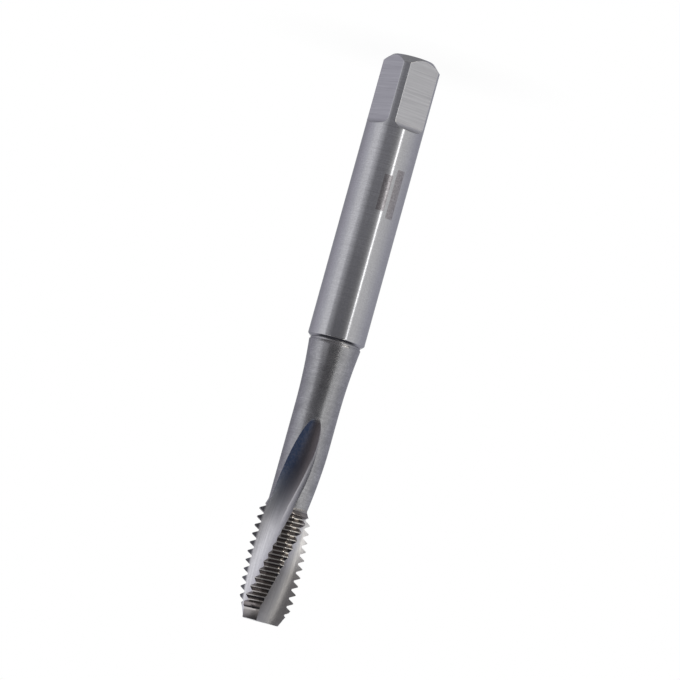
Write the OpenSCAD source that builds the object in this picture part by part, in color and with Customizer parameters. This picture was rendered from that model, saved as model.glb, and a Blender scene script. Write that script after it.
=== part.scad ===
// Machine tap for a metric thread, ground from one bar of tool steel.
// From the bottom up: driving square, plain shank, waisted neck, and the threaded
// end with its helical flutes. The tap stands on its square end, +Z runs along the
// axis to the cutting tip, and X and Y are square to the flats of the drive.

/* [Overall] */
// Whole length, from the square end to the tip face
total_len = 100; // [95:1:120]
// Length from the square end to the shoulder where the neck begins
shank_len = 50.6; // [40:0.2:51.2]

/* [Shank] */
// Diameter of the shank
shank_d = 10; // [9.6:0.1:11]
// Bevel on the edge of the shoulder
shoulder_bevel = 0.45; // [0.1:0.05:0.6]
// Bevel round the square end
end_bevel = 1.35; // [0.6:0.05:1.8]

/* [Driving square] */
// Width across the flats
square_width = 7.9; // [7.2:0.1:8.6]
// Length of the full flats
square_len = 11.3; // [8:0.1:15]
// Radius that the grinding wheel leaves where a flat runs out
square_runout_r = 1.5; // [1.1:0.1:3]

/* [Centre holes] */
// Mouth diameter of the centre hole in the square end
centre_d = 2.6; // [1.8:0.1:3.4]
// Mouth diameter of the centre hole in the tip face
tip_centre_d = 2; // [1.4:0.1:2.6]
// Diameter of the pilot at the bottom of both centre holes
pilot_d = 0.9; // [0.6:0.1:1.2]
// Depth of the pilot below the cone
pilot_len = 1; // [0.5:0.1:2]
// Angle of the centre cone
centre_angle = 60; // [55:1:90]

/* [Neck] */
// Diameter of the neck along the flutes
neck_d = 7.75; // [7.2:0.05:8]
// Diameter of the neck beside the shoulder
neck_top_d = 9.1; // [8.2:0.1:9.4]
// Length of the concave flare between those two diameters
flare_len = 11.5; // [6:0.5:12]
// Diameter at the bottom of the relief groove under the shoulder
relief_d = 8.8; // [7.9:0.1:9.2]
// Width of the relief groove
relief_len = 0.4; // [0.2:0.1:1]

/* [Thread] */
// Outer diameter of the thread
thread_d = 10.06; // [9.9:0.02:10.4]
// Pitch of the thread
pitch = 1.5; // [1.25:0.05:1.75]
// Depth of the thread, from crest to root
thread_depth = 0.94; // [0.8:0.02:1]
// Width of the flat crest
crest_flat = 0.19; // [0.1:0.01:0.3]
// Angle between the two flanks of a thread
thread_angle = 60; // [50:1:60]
// Length of the threaded end
thread_len = 20; // [16:0.5:24]
// Slope of the bevel at the back end of the thread
back_angle = 45; // [35:1:60]

/* [Cutting lead] */
// Diameter of the tip face at the cutting edges
tip_d = 7.1; // [6.6:0.1:7.6]
// Slope of the tapered lead, measured from the axis
lead_angle = 24; // [18:1:30]
// How far the lead falls away from the cutting edge to the heel
lead_relief = 0.25; // [0.1:0.05:0.4]

/* [Flutes] */
// Number of flutes, and of lands between them
flute_count = 3; // [3:1:4]
// Diameter of the core that the flutes leave
core_d = 4.1; // [3.7:0.1:4.5]
// Width of a land at its crest, in degrees round the axis
land_angle = 40; // [36:1:46]
// Helix angle of the flutes at the outer diameter
helix_angle = 15; // [5:1:20]
// Rake of the cutting face
rake_angle = 2; // [0:1:6]
// Radius of the gullet at the foot of the cutting face
gullet_r = 2.6; // [2:0.1:3]
// Length of full-depth flute, from the tip
flute_len = 23.6; // [20.6:0.2:26]
// Diameter of the grinding wheel that leaves the run-out
wheel_d = 62; // [50:2:110]
// Lean of the wheel towards the heel as it lifts out
wheel_lean = 48; // [20:2:50]
// Azimuth of the first cutting edge at the tip face
edge_azimuth = -4; // [-60:1:60]

/* [Hidden] */
$fn = 96;

shank_r = shank_d / 2;
neck_r = neck_d / 2;
crest_r = thread_d / 2;
root_r = crest_r - thread_depth;
tip_r = tip_d / 2;
core_r = core_d / 2;
thread_start = total_len - thread_len;
// A little more than nothing, for cuts that run past a face
past = 1;

// Flutes: angle between lands, open angle of a flute, and turn per millimetre
sector = 360 / flute_count;
flute_angle = sector - land_angle;
twist = tan(helix_angle) * 360 / (PI * thread_d);

// One flute in section, seen with its cutting edge on the X axis. The cutting face is
// a straight line, the gullet and the back are arcs that meet on the core circle.
face_dir = [cos(rake_angle), sin(rake_angle)];
gullet_az = rake_angle + asin((gullet_r - crest_r * sin(rake_angle)) / (core_r + gullet_r));
gullet_pos = (core_r + gullet_r) * [cos(gullet_az), sin(gullet_az)];
gullet_top = gullet_pos + gullet_r * [sin(rake_angle), -cos(rake_angle)];
gullet_sweep = 90 + rake_angle - gullet_az;
gullet_arc = gullet_r * gullet_sweep * PI / 180;
heel_gap = flute_angle - gullet_az;
back_r = (crest_r * crest_r + core_r * core_r - 2 * core_r * crest_r * cos(heel_gap))
    / (2 * (crest_r * cos(heel_gap) - core_r));
back_pos = (core_r + back_r) * [cos(gullet_az), sin(gullet_az)];

// Run-out: the wheel lifts away from the axis on its own radius, behind full_z
full_z = total_len - flute_len;
wheel_r = wheel_d / 2;
lift_dir = [cos(flute_angle / 2 + wheel_lean), sin(flute_angle / 2 + wheel_lean)];
lift_needed = let (b = back_pos * lift_dir, reach = neck_r + back_r)
    sqrt(b * b + reach * reach - back_pos * back_pos) - b;
runout_z = full_z - sqrt(wheel_d * lift_needed - lift_needed * lift_needed);

// The fluted end is one surface: rows of points up the axis, columns round it
land_cols = 6;
flute_cols = 8;
runout_rows = 10;
runout_bias = 1.7;
// Clear of the flutes, the neck is round and meets the turned bar
joint_z = runout_z - 0.5;
joint_depth = 0.4;
joint_step = 0.01;
joint_core = 0.8;
// Width that stands for a flute that has closed, in degrees
closed_width = 2;

// Along a land the thread repeats at a longer step, because the land turns with it
land_step = pitch / (1 - pitch * twist / 360);
stretch = land_step / pitch;
flank_len = thread_depth * tan(thread_angle / 2) * stretch;
flank_slope = thread_depth / flank_len;
corner_z = [0, flank_len, flank_len + crest_flat * stretch, 2 * flank_len + crest_flat * stretch];
// Smallest share of a flank that stays where the lead or the back bevel cuts a thread
kept_flank = 0.2;
tip_margin = 0.73;
set_offset = land_step * (flute_count - 1) / flute_count;
turns = ceil((thread_len - tip_margin - corner_z[3]) / land_step) + 1;
first_z = total_len - tip_margin - set_offset - corner_z[3] - (turns - 1) * land_step;
first_row_z = first_z - land_step * land_angle / 360;

function azimuth(p) = atan2(p[1], p[0]);
function polar(r, a) = r * [cos(a), sin(a)];
function clamp(x, low, high) = max(low, min(high, x));
function turn(z) = edge_azimuth + twist * (z - total_len);

// How far the wheel has lifted at a height, as a vector in the flute's section
function lift(z) = let (d = max(0, full_z - z)) (wheel_r - sqrt(wheel_r * wheel_r - d * d)) * lift_dir;

// A point of the flute's section, by its distance along the curve from the gullet's top
function flute_point(s) =
    s < 0 ? gullet_top - s * face_dir
    : s < gullet_arc ? gullet_pos + polar(gullet_r, rake_angle - 90 - s / gullet_r * 180 / PI)
    : back_pos + polar(back_r, gullet_az - 180 - (s - gullet_arc) / back_r * 180 / PI);

// Where an arc round c crosses the circle r, on its cutting side (-1) or its heel side (1)
function arc_azimuth(c, arc_r, r, side) = azimuth(c)
    + side * acos(clamp((c * c + r * r - arc_r * arc_r) / (2 * norm(c) * r), -1, 1));
// The length of that arc from its start azimuth to the crossing
function arc_reach(c, arc_r, r, side, start) =
    let (d = start - azimuth(polar(r, arc_azimuth(c, arc_r, r, side)) - c))
    arc_r * (d - 360 * floor(d / 360)) * PI / 180;

// Azimuth and curve distance where the cutting side of the flute reaches radius r
function face_crossing(r, z) =
    let (move = lift(z), top = gullet_top + move, gullet = gullet_pos + move, back = back_pos + move)
    let (foot = gullet + polar(gullet_r, gullet_az - 180))
    norm(top) <= r ? let (b = top * face_dir, t = sqrt(b * b - top * top + r * r) - b)
        [azimuth(top + t * face_dir), -t]
    : norm(foot) <= r ? [arc_azimuth(gullet, gullet_r, r, -1),
        arc_reach(gullet, gullet_r, r, -1, rake_angle - 90)]
    : [arc_azimuth(back, back_r, r, -1),
        gullet_arc + arc_reach(back, back_r, r, -1, gullet_az - 180)];

// The same for the heel side
function heel_crossing(r, z) = let (back = back_pos + lift(z))
    [arc_azimuth(back, back_r, r, 1), gullet_arc + arc_reach(back, back_r, r, 1, gullet_az - 180)];

// Behind the run-out a closed flute keeps a narrow strip of points on the round neck
function is_closed(z) = z <= runout_z;
function closed_azimuth(side) = azimuth(back_pos + lift(runout_z)) + side * closed_width / 2;
function face_azimuth(r, z) = is_closed(z) ? closed_azimuth(-1) : face_crossing(r, z)[0];
function heel_azimuth(r, z) = is_closed(z) ? closed_azimuth(1) : heel_crossing(r, z)[0];

// The turned outline that the thread is cut into: neck, back bevel and tapered lead.
// f runs over a land from 0 at the cutting edge to 1 at the heel.
fluted_neck_r = neck_r - joint_step;
function blank_r(z, f) = min(
    fluted_neck_r + max(0, z - thread_start) * tan(back_angle),
    tip_r + (total_len - z) * tan(lead_angle) - lead_relief * f);
function blank_slope(z) = z < thread_start + thread_len / 2 ? tan(back_angle) : -tan(lead_angle);

// Height and radius of one corner of the thread on land k. Corners 0 and 3 are at the
// root, and 1 and 2 at the crest, from where they slide down a flank that is cut short.
function corner_height(j, k, f) = first_z + floor(j / 4) * land_step
    + land_step * (k / flute_count - f * land_angle / 360) + corner_z[j % 4];
function root_corner(z, f) = [z, min(root_r, blank_r(z, f))];
function crest_corner(z, f, side) =
    let (room = (blank_r(z, f) - root_r) / (flank_slope - side * blank_slope(z)))
    let (d = clamp(room, kept_flank * flank_len, flank_len), at = z + side * d)
    [at, min(root_r + d * flank_slope, blank_r(at, f))];
function thread_corner(j, k, f) = let (z = corner_height(j, k, f))
    j % 4 == 0 || j % 4 == 3 ? root_corner(z, f)
    : j % 4 == 1 ? crest_corner(z - flank_len, f, 1)
    : crest_corner(z + flank_len, f, -1);

// A land point from its height and radius, turned to its land and along the helix
function placed(r, a, z) = concat(polar(r, a + turn(z)), z);
function land_point(p, k, f) = placed(p[1],
    k * sector + (1 - f) * face_azimuth(p[1], p[0]) + f * (heel_azimuth(p[1], p[0]) - sector), p[0]);

// A point inside flute k, a share t of the way from its cutting side to its heel side
function flute_inner(low, high, k, t) =
    let (z = low[0] + (high[0] - low[0]) * t)
    let (s0 = face_crossing(low[1], low[0])[1], s1 = heel_crossing(high[1], high[0])[1])
    let (p = flute_point(s0 + (s1 - s0) * t) + lift(z))
    is_closed(z) ? placed(low[1], k * sector + closed_azimuth(2 * t - 1), z)
    : placed(norm(p), k * sector + azimuth(p), z);

// One row of points right round: each land from heel to cutting edge, then its flute
function row(land_at) = [
    for (k = [0 : flute_count - 1])
        let (low = land_at[k][0], high = land_at[(k + 1) % flute_count][1])
        each concat(
            [for (i = [0 : land_cols]) land_point(land_at[k][2 + i], k, 1 - i / land_cols)],
            [for (i = [1 : flute_cols]) flute_inner(low, high, k, i / (flute_cols + 1))])
];
function root_limited(p) = [p[0], min(p[1], root_r)];

// For each land: its limited cutting-edge and heel points, then the points of the row
function level_row(z) = row([
    for (k = [0 : flute_count - 1])
        let (at = [for (i = [0 : land_cols]) root_corner(z, 1 - i / land_cols)])
        concat([at[land_cols], at[0]], at)
]);
function thread_row(j) = row([
    for (k = [0 : flute_count - 1])
        let (at = [for (i = [0 : land_cols]) thread_corner(j, k, 1 - i / land_cols)])
        concat([root_limited(at[land_cols]), root_limited(at[0])], at)
]);

// The turned bar as a half outline: bevelled end, shank, shoulder, relief groove, flare.
// The flare ends where the flutes begin to run out, if it would be longer.
flare_z = shank_len + relief_len;
flare_run = min(flare_len, joint_z - flare_z - joint_depth);
flare_drop = (neck_top_d - neck_d) / 2;
flare_r = (flare_run * flare_run + flare_drop * flare_drop) / (2 * flare_drop);
flare_steps = 12;
function flare_point(t) = let (d = flare_run * (1 - t))
    [neck_r + flare_r - sqrt(flare_r * flare_r - d * d), flare_z + flare_run * t];

module turned_bar() {
    rotate_extrude()
        polygon(concat(
            [[0, 0], [shank_r - end_bevel, 0], [shank_r, end_bevel]],
            [[shank_r, shank_len - shoulder_bevel], [shank_r - shoulder_bevel, shank_len]],
            [[relief_d / 2, shank_len], [relief_d / 2, flare_z]],
            [for (i = [0 : flare_steps]) flare_point(i / flare_steps)],
            [[neck_r, joint_z], [0, joint_z]]));
}

module fluted_end() {
    span = first_row_z - runout_z;
    levels = [
        for (i = [0 : runout_rows - 1])
            runout_z + span * pow(i / runout_rows, runout_bias)
    ];
    buried = [
        for (p = level_row(joint_z))
            [p[0] * joint_core, p[1] * joint_core, joint_z - joint_depth]
    ];
    rows = concat(
        [buried, level_row(joint_z)],
        [for (z = levels) level_row(z)],
        [for (j = [0 : 4 * turns - 1]) thread_row(j)],
        [level_row(total_len)]);
    cols = len(rows[0]);
    last = (len(rows) - 1) * cols;
    polyhedron(
        points = [for (r = rows) each r],
        faces = concat(
            [[for (c = [0 : cols - 1]) c]],
            [[for (c = [cols - 1 : -1 : 0]) last + c]],
            [for (r = [0 : len(rows) - 2], c = [0 : cols - 1])
                [r * cols + c, (r + 1) * cols + c, (r + 1) * cols + (c + 1) % cols]],
            [for (r = [0 : len(rows) - 2], c = [0 : cols - 1])
                [r * cols + c, (r + 1) * cols + (c + 1) % cols, r * cols + (c + 1) % cols]]));
}

// What the wheel takes off one side of the driving square, along X
module flat_cut() {
    flat_x = square_width / 2;
    rotate([90, 0, 0])
        linear_extrude(height = shank_d + 2 * past, center = true)
            union() {
                translate([flat_x, -past])
                    square([shank_r, square_len + past]);
                translate([flat_x + square_runout_r, square_len])
                    circle(r = square_runout_r);
            }
}

module centre_hole(mouth_d) {
    cone_len = (mouth_d - pilot_d) / 2 / tan(centre_angle / 2);
    over = 0.1;
    translate([0, 0, -over])
        cylinder(h = cone_len + over, d1 = mouth_d + 2 * over * tan(centre_angle / 2), d2 = pilot_d);
    cylinder(h = cone_len + pilot_len, d = pilot_d);
}

module thread_tap() {
    color("silver")
        difference() {
            union() {
                turned_bar();
                fluted_end();
            }
            for (side = [0 : 3])
                rotate([0, 0, side * 90])
                    flat_cut();
            centre_hole(centre_d);
            translate([0, 0, total_len])
                mirror([0, 0, 1])
                    centre_hole(tip_centre_d);
        }
}

thread_tap();
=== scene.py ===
"""Looks of a machine tap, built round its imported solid.

The body is one closed surface: rings of points from the centre hole in the square end, out over
the end, up the shank, neck and fluted thread, and into the centre hole in the tip. Sizes of the
tap are in millimetres and angles in degrees. Everything that Blender gets is in metres.
"""

from math import acos, asin, ceil, cos, degrees, pi, radians, sin, sqrt, tan

import bpy
import numpy as np
from mathutils import Matrix, Vector


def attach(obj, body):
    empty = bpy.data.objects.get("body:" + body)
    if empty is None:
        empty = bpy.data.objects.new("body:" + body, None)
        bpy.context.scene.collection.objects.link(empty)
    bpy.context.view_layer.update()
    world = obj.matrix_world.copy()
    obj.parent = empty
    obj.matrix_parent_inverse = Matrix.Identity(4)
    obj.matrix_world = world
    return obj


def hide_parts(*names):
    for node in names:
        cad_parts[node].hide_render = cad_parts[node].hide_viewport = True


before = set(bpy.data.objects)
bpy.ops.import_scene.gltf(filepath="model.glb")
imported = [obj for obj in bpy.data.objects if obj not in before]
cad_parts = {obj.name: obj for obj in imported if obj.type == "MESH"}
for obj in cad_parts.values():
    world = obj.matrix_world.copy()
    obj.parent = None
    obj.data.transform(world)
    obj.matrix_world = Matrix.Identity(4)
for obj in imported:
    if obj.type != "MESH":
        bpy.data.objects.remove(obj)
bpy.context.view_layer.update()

MM = 0.001
NODE = "thread_tap"

# Sizes of the tap, as in the solid
TOTAL_LEN = 100.0
SHANK_LEN = 50.6
SHANK_R = 5.0
SHOULDER_BEVEL = 0.45
END_BEVEL = 1.35
FLAT_X = 3.95
SQUARE_LEN = 11.3
SQUARE_RUNOUT_R = 1.5
CENTRE_R = 1.3
TIP_CENTRE_R = 1.0
PILOT_R = 0.45
PILOT_LEN = 1.0
CENTRE_ANGLE = 60.0
NECK_R = 3.875
NECK_TOP_R = 4.55
FLARE_LEN = 11.5
RELIEF_R = 4.4
RELIEF_LEN = 0.4
CREST_R = 5.0
PITCH = 1.5
THREAD_DEPTH = 0.92
CREST_FLAT = 0.17
THREAD_ANGLE = 60.0
THREAD_LEN = 20.0
BACK_ANGLE = 45.0
TIP_R = 3.55
LEAD_ANGLE = 24.0
LEAD_RELIEF = 0.25
FLUTES = 3
CORE_R = 2.05
LAND_ANGLE = 40.0
HELIX_ANGLE = 15.0
RAKE = 2.0
GULLET_R = 2.6
FLUTE_LEN = 23.6
WHEEL_R = 31.0
WHEEL_LEAN = 48.0
EDGE_AZIMUTH = -4.0
# How far the sharp corners are eased, and how deep the thread's root is rounded
EASE = 0.035
ROOT_ROUND = 0.03
# An eased corner's step each way where one of its sides leans by 45 degrees, and how far from an
# eased corner a row of points holds the smooth shading off
EASE_STEP = 0.7 * EASE
SUPPORT = 3 * EASE
# Less than any gap between two points
TINY = 1e-9

# Columns of the rings. A third of a turn is a land and a flute, a quarter is a flat and a corner.
LAND_COLS = 32
FLUTE_COLS = 64
FLAT_COLS = 48
SECTOR_COLS = LAND_COLS + FLUTE_COLS
COLS = FLUTES * SECTOR_COLS
QUARTER_COLS = COLS // 4
# Width in degrees that a flute's or a flat's columns keep where it has run out
CLOSED_WIDTH = 0.6
# Length of the neck over which those columns come together
SPREAD_LEN = 11.0
# Length over which a run-out eases into the neck
RUNOUT_EASE = 0.8
# A flute's own columns begin this far inside the thread's root, or at this share of the flute's
# depth where that is less
TUCK = 0.12
TUCK_SHARE = 0.25

FACE_R = SHANK_R - END_BEVEL
FLAT_Z = FLAT_X - FACE_R
ROOT_R = CREST_R - THREAD_DEPTH
THREAD_START = TOTAL_LEN - THREAD_LEN
SECTOR = 360 / FLUTES
FLUTE_ANGLE = SECTOR - LAND_ANGLE
TWIST = degrees(tan(radians(HELIX_ANGLE)) / CREST_R)


def blend(a, b, t):
    return a + (b - a) * t


def smooth(t):
    return t * t * (3 - 2 * t)


def unit(angle):
    """Unit vectors at these azimuths."""
    a = np.radians(angle)
    return np.stack([np.cos(a), np.sin(a)], -1)


def azimuth(point):
    return np.degrees(np.arctan2(point[..., 1], point[..., 0]))


def length(vector):
    return np.sqrt((vector**2).sum(-1))


# One flute in section, seen with its cutting edge on the X axis: a straight cutting face, then
# the arcs of the gullet and of the back, which meet on the core circle.
FACE_DIR = unit(RAKE)
GULLET_AZ = RAKE + degrees(asin((GULLET_R - CREST_R * sin(radians(RAKE))) / (CORE_R + GULLET_R)))
GULLET = (CORE_R + GULLET_R) * unit(GULLET_AZ)
GULLET_TOP = GULLET + GULLET_R * unit(RAKE - 90)
GULLET_ARC = GULLET_R * radians(90 + RAKE - GULLET_AZ)
HEEL_X = CREST_R * cos(radians(FLUTE_ANGLE - GULLET_AZ))
BACK_R = (CREST_R**2 + CORE_R**2 - 2 * CORE_R * HEEL_X) / (2 * (HEEL_X - CORE_R))
BACK = (CORE_R + BACK_R) * unit(GULLET_AZ)

# The run-out, where the grinding wheel lifts away on its own radius
FULL_Z = TOTAL_LEN - FLUTE_LEN
LIFT_DIR = unit(FLUTE_ANGLE / 2 + WHEEL_LEAN)
GULLET_ALONG = float(GULLET @ LIFT_DIR)
GULLET_OUT = (NECK_R + GULLET_R) ** 2 - float(GULLET @ GULLET)
LIFT_NEEDED = sqrt(GULLET_ALONG**2 + GULLET_OUT) - GULLET_ALONG
RUNOUT_Z = FULL_Z - sqrt(2 * WHEEL_R * LIFT_NEEDED - LIFT_NEEDED**2)


def lift(z):
    """How far the wheel has lifted at these heights, as vectors in the flute's section."""
    d = np.clip(FULL_Z - z, 0, FULL_Z - RUNOUT_Z)
    return (WHEEL_R - np.sqrt(WHEEL_R**2 - d**2))[..., None] * LIFT_DIR


def turn(z):
    """Azimuth of the first land's cutting edge. Below the run-out it stays as it is there."""
    return EDGE_AZIMUTH + TWIST * (np.maximum(z, RUNOUT_Z) - TOTAL_LEN)


# Azimuth at which a flute comes out of the neck, and its columns stand below
CLOSED_AZ = float(azimuth(GULLET + lift(np.array(RUNOUT_Z))))


def flute_point(s):
    """Points of the flute's section, by their distance along it from the gullet's top."""
    face = GULLET_TOP - s[..., None] * FACE_DIR
    gullet = GULLET + GULLET_R * unit(RAKE - 90 - np.degrees(s / GULLET_R))
    back = BACK + BACK_R * unit(GULLET_AZ - 180 - np.degrees((s - GULLET_ARC) / BACK_R))
    on_gullet = np.where((s < GULLET_ARC)[..., None], gullet, back)
    return np.where((s < 0)[..., None], face, on_gullet)


def arc_crossing(centre, arc_r, r, side, start):
    """Where an arc crosses the circle r: its azimuth, and its distance along the arc."""
    reach = length(centre)
    cosine = np.clip((reach**2 + r**2 - arc_r**2) / (2 * reach * r), -1, 1)
    at = azimuth(centre) + side * np.degrees(np.arccos(cosine))
    swept = (start - azimuth(unit(at) * r[..., None] - centre)) % 360
    return at, arc_r * np.radians(swept)


def face_crossing(r, z):
    """Azimuth and distance along the section where the cutting side reaches the radius r."""
    move = lift(z)
    top = GULLET_TOP + move
    along = top @ FACE_DIR
    reach = np.sqrt(np.maximum(along**2 - (top**2).sum(-1) + r**2, 0)) - along
    gullet_at, gullet_s = arc_crossing(GULLET + move, GULLET_R, r, -1, RAKE - 90)
    on_face = length(top) <= r
    face_at = azimuth(top + reach[..., None] * FACE_DIR)
    return np.where(on_face, face_at, gullet_at), np.where(on_face, -reach, gullet_s)


def heel_crossing(r, z):
    """The same for the heel side. Where the run-out starts, only the gullet reaches the neck."""
    move = lift(z)
    back_at, back_s = arc_crossing(BACK + move, BACK_R, r, 1, GULLET_AZ - 180)
    gullet_at, gullet_s = arc_crossing(GULLET + move, GULLET_R, r, 1, RAKE - 90)
    on_back = length(GULLET + move - GULLET_R * unit(GULLET_AZ)) <= r
    return np.where(on_back, back_at, gullet_at), np.where(on_back, GULLET_ARC + back_s, gullet_s)


def neck_flute(z):
    """How wide the columns of a closed flute stand, in degrees: they spread below the run-out."""
    spread = np.clip((RUNOUT_Z - z) / SPREAD_LEN, 0, 1)
    return blend(CLOSED_WIDTH, FLUTE_ANGLE, smooth(spread))


def edge_azimuths(r, z):
    """Azimuths of a flute's cutting side and heel side at the radius r."""
    half = neck_flute(z) / 2
    closed = z <= RUNOUT_Z
    face = np.where(closed, CLOSED_AZ - half, face_crossing(r, z)[0])
    heel = np.where(closed, CLOSED_AZ + half, heel_crossing(r, z)[0])
    return face, heel


# The turned outline that the thread is cut into: neck, back bevel and tapered lead. f stands for
# the share of a land, from 0 at its cutting edge to 1 at its heel.
BACK_SLOPE = tan(radians(BACK_ANGLE))
LEAD_SLOPE = tan(radians(LEAD_ANGLE))


def blank_r(z, f):
    """Radius of the turned outline."""
    bevel = NECK_R + np.maximum(0, z - THREAD_START) * BACK_SLOPE
    return np.minimum(bevel, TIP_R + (TOTAL_LEN - z) * LEAD_SLOPE - LEAD_RELIEF * f)


# Along a land the thread repeats at a longer step, because the land turns with it
LAND_STEP = PITCH / (1 - PITCH * TWIST / 360)
FLANK_LEN = THREAD_DEPTH * tan(radians(THREAD_ANGLE / 2)) * LAND_STEP / PITCH
FLANK_SLOPE = THREAD_DEPTH / FLANK_LEN
CREST_LEN = CREST_FLAT * LAND_STEP / PITCH
RIDGE_LEN = 2 * FLANK_LEN + CREST_LEN
# The share of a flank that stays at least, where the lead or the bevel cuts the thread down
KEPT_FLANK = 0.2
# How far the last ridge ends before the tip, and how much further up the last land's thread is
# than the first land's
TIP_MARGIN = 0.73
SET_OFFSET = LAND_STEP * (FLUTES - 1) / FLUTES
TURNS = ceil((THREAD_LEN - TIP_MARGIN - RIDGE_LEN) / LAND_STEP) + 1
FIRST_Z = TOTAL_LEN - TIP_MARGIN - SET_OFFSET - RIDGE_LEN - (TURNS - 1) * LAND_STEP
# The shares at which a land has columns, from its heel, and the numbers of the lands
LAND_F = np.linspace(1, 0, LAND_COLS + 1)
LAND_K = np.arange(FLUTES)[:, None]


def crest_corner(z, f, side):
    """A crest corner of the thread whose flank rises from the root corner z. It slides down that
    flank to where the lead or the back bevel cuts it."""
    slope = np.where(z < THREAD_START + THREAD_LEN / 2, BACK_SLOPE, -LEAD_SLOPE)
    room = (blank_r(z, f) - ROOT_R) / (FLANK_SLOPE - side * slope)
    run = np.clip(room, KEPT_FLANK * FLANK_LEN, FLANK_LEN)
    at = z + side * run
    return np.stack([at, np.minimum(ROOT_R + run * FLANK_SLOPE, blank_r(at, f))], -1)


def toward(a, b, distance):
    """The point this far from a towards b, and no further than a third of the way."""
    gap = length(b - a)
    return a + (b - a) * np.minimum(distance / np.maximum(gap, TINY), 1 / 3)[..., None]


def thread_turn(j):
    """The rows of one turn on every land, as heights and radii: the rounded root below the ridge,
    then the ridge with its crest corners eased."""
    f = np.broadcast_to(LAND_F, (FLUTES, LAND_COLS + 1))
    low = FIRST_Z + LAND_STEP * (j + LAND_K / FLUTES - f * LAND_ANGLE / 360)
    high = low + RIDGE_LEN
    root_low = np.stack([low, np.minimum(ROOT_R, blank_r(low, f))], -1)
    root_high = np.stack([high, np.minimum(ROOT_R, blank_r(high, f))], -1)
    crest_low = crest_corner(low, f, 1)
    crest_high = crest_corner(high, f, -1)
    mid = low - (LAND_STEP - RIDGE_LEN) / 2
    root = np.stack([mid, np.minimum(ROOT_R - ROOT_ROUND, blank_r(mid, f))], -1)
    return [
        root,
        root_low,
        toward(crest_low, root_low, EASE),
        toward(crest_low, crest_high, EASE),
        toward(crest_high, crest_low, EASE),
        toward(crest_high, root_high, EASE),
        root_high,
    ]


def plain_lands(z):
    """Lands without thread, at one height or at the heights of a row."""
    f = np.broadcast_to(LAND_F, (FLUTES, LAND_COLS + 1))
    height = np.zeros(f.shape) + z
    return np.stack([height, np.minimum(ROOT_R, blank_r(height, f))], -1)


def fluted_ring(lands):
    """A ring of points from the heights and radii on its lands: each land from heel to cutting
    edge, then its flute."""
    z, r = lands[..., 0], lands[..., 1]
    face, heel = edge_azimuths(r, z)
    angle = SECTOR * LAND_K + (1 - LAND_F) * face + LAND_F * (heel - SECTOR) + turn(z)
    land = np.concatenate([unit(angle) * r[..., None], z[..., None]], -1)

    edge, rim = lands[:, -1], np.roll(lands[:, 0], -1, 0)
    depth_left = (NECK_R - CORE_R - length(lift(edge[:, 0]))).clip(0)
    depth = np.minimum(TUCK, TUCK_SHARE * depth_left)
    edge_r = np.minimum(edge[:, 1], ROOT_R - ROOT_ROUND) - depth
    rim_r = np.minimum(rim[:, 1], ROOT_R - ROOT_ROUND) - depth
    t = np.linspace(0, 1, FLUTE_COLS + 1)[1:-1]
    z = blend(edge[:, :1], rim[:, :1], t)
    start = face_crossing(edge_r, edge[:, 0])[1][:, None]
    end = heel_crossing(rim_r, rim[:, 0])[1][:, None]
    open_point = flute_point(blend(start, end, t)) + lift(z)
    closed_at = CLOSED_AZ + neck_flute(z) * (t - 0.5)
    closed = z <= RUNOUT_Z
    at = np.where(closed, closed_at, azimuth(open_point)) + SECTOR * LAND_K + turn(z)
    cut = smooth(np.clip((z - RUNOUT_Z) / RUNOUT_EASE, 0, 1))
    r = np.where(closed, blank_r(z, 0), blend(blank_r(z, 0), length(open_point), cut))
    flute = np.concatenate([unit(at) * r[..., None], z[..., None]], -1)
    return np.concatenate([land, flute], 1).reshape(COLS, 3)


def ring(angles, r, z):
    """A level ring of points on a round stretch. angles and r may be lists or one number."""
    xy = unit(angles) * (np.zeros(COLS) + r)[:, None]
    return np.concatenate([xy, np.full((COLS, 1), float(z))], 1)


def unwrapped(angles):
    """Azimuths that only grow along the ring."""
    return angles[0] + np.concatenate([[0], np.cumsum(np.diff(angles) % 360)])


def quarter_angles(half_flat):
    """Azimuths of all columns with four flats of this half width. The corner between a flat and
    the round is eased over two columns."""
    ease = min(degrees(EASE / SHANK_R), half_flat / 4)
    flat = np.linspace(-half_flat + ease, half_flat - ease, FLAT_COLS + 1)
    corner = np.linspace(half_flat + ease, 90 - half_flat - ease, QUARTER_COLS - FLAT_COLS - 1)
    return np.concatenate([np.concatenate([flat, corner]) + 90 * q for q in range(4)])


def square_ring(turned_r, flat_x, z):
    """A ring across the driving square, where a turned outline meets flats at this distance."""
    half_flat = degrees(acos(min(1, flat_x / turned_r)))
    angles = quarter_angles(max(half_flat, CLOSED_WIDTH))
    across = np.abs((angles + 45) % 90 - 45)
    r = np.where(across < half_flat, flat_x / np.cos(np.radians(across)), turned_r)
    return ring(angles, np.minimum(r, turned_r), z)


def eased(outline):
    """An outline of (radius, height) with each inner corner cut by a small bevel."""
    points = [np.array(p, float) for p in outline]
    out = [points[0]]
    for before, at, after in zip(points, points[1:], points[2:]):
        out += [toward(at, before, EASE), toward(at, after, EASE)]
    return out + [points[-1]]


def centre_hole(mouth_r):
    """Outline of a centre hole from the pilot's bottom to just inside its mouth, as (radius,
    depth)."""
    cone = (mouth_r - PILOT_R) / tan(radians(CENTRE_ANGLE / 2))
    bottom = cone + PILOT_LEN
    return [(PILOT_R / 2, bottom), (PILOT_R, bottom), (PILOT_R, cone), (mouth_r, 0)]


class Rings:
    """The rings of the body, each with the finish of the band of faces above it."""

    def __init__(self):
        self.points = []
        self.finish = []

    def add(self, points, land, flute=None):
        """flute is the finish on the flute columns, or the land's where it is None."""
        self.points.append(points)
        self.finish.append((land, land if flute is None else flute))


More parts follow.
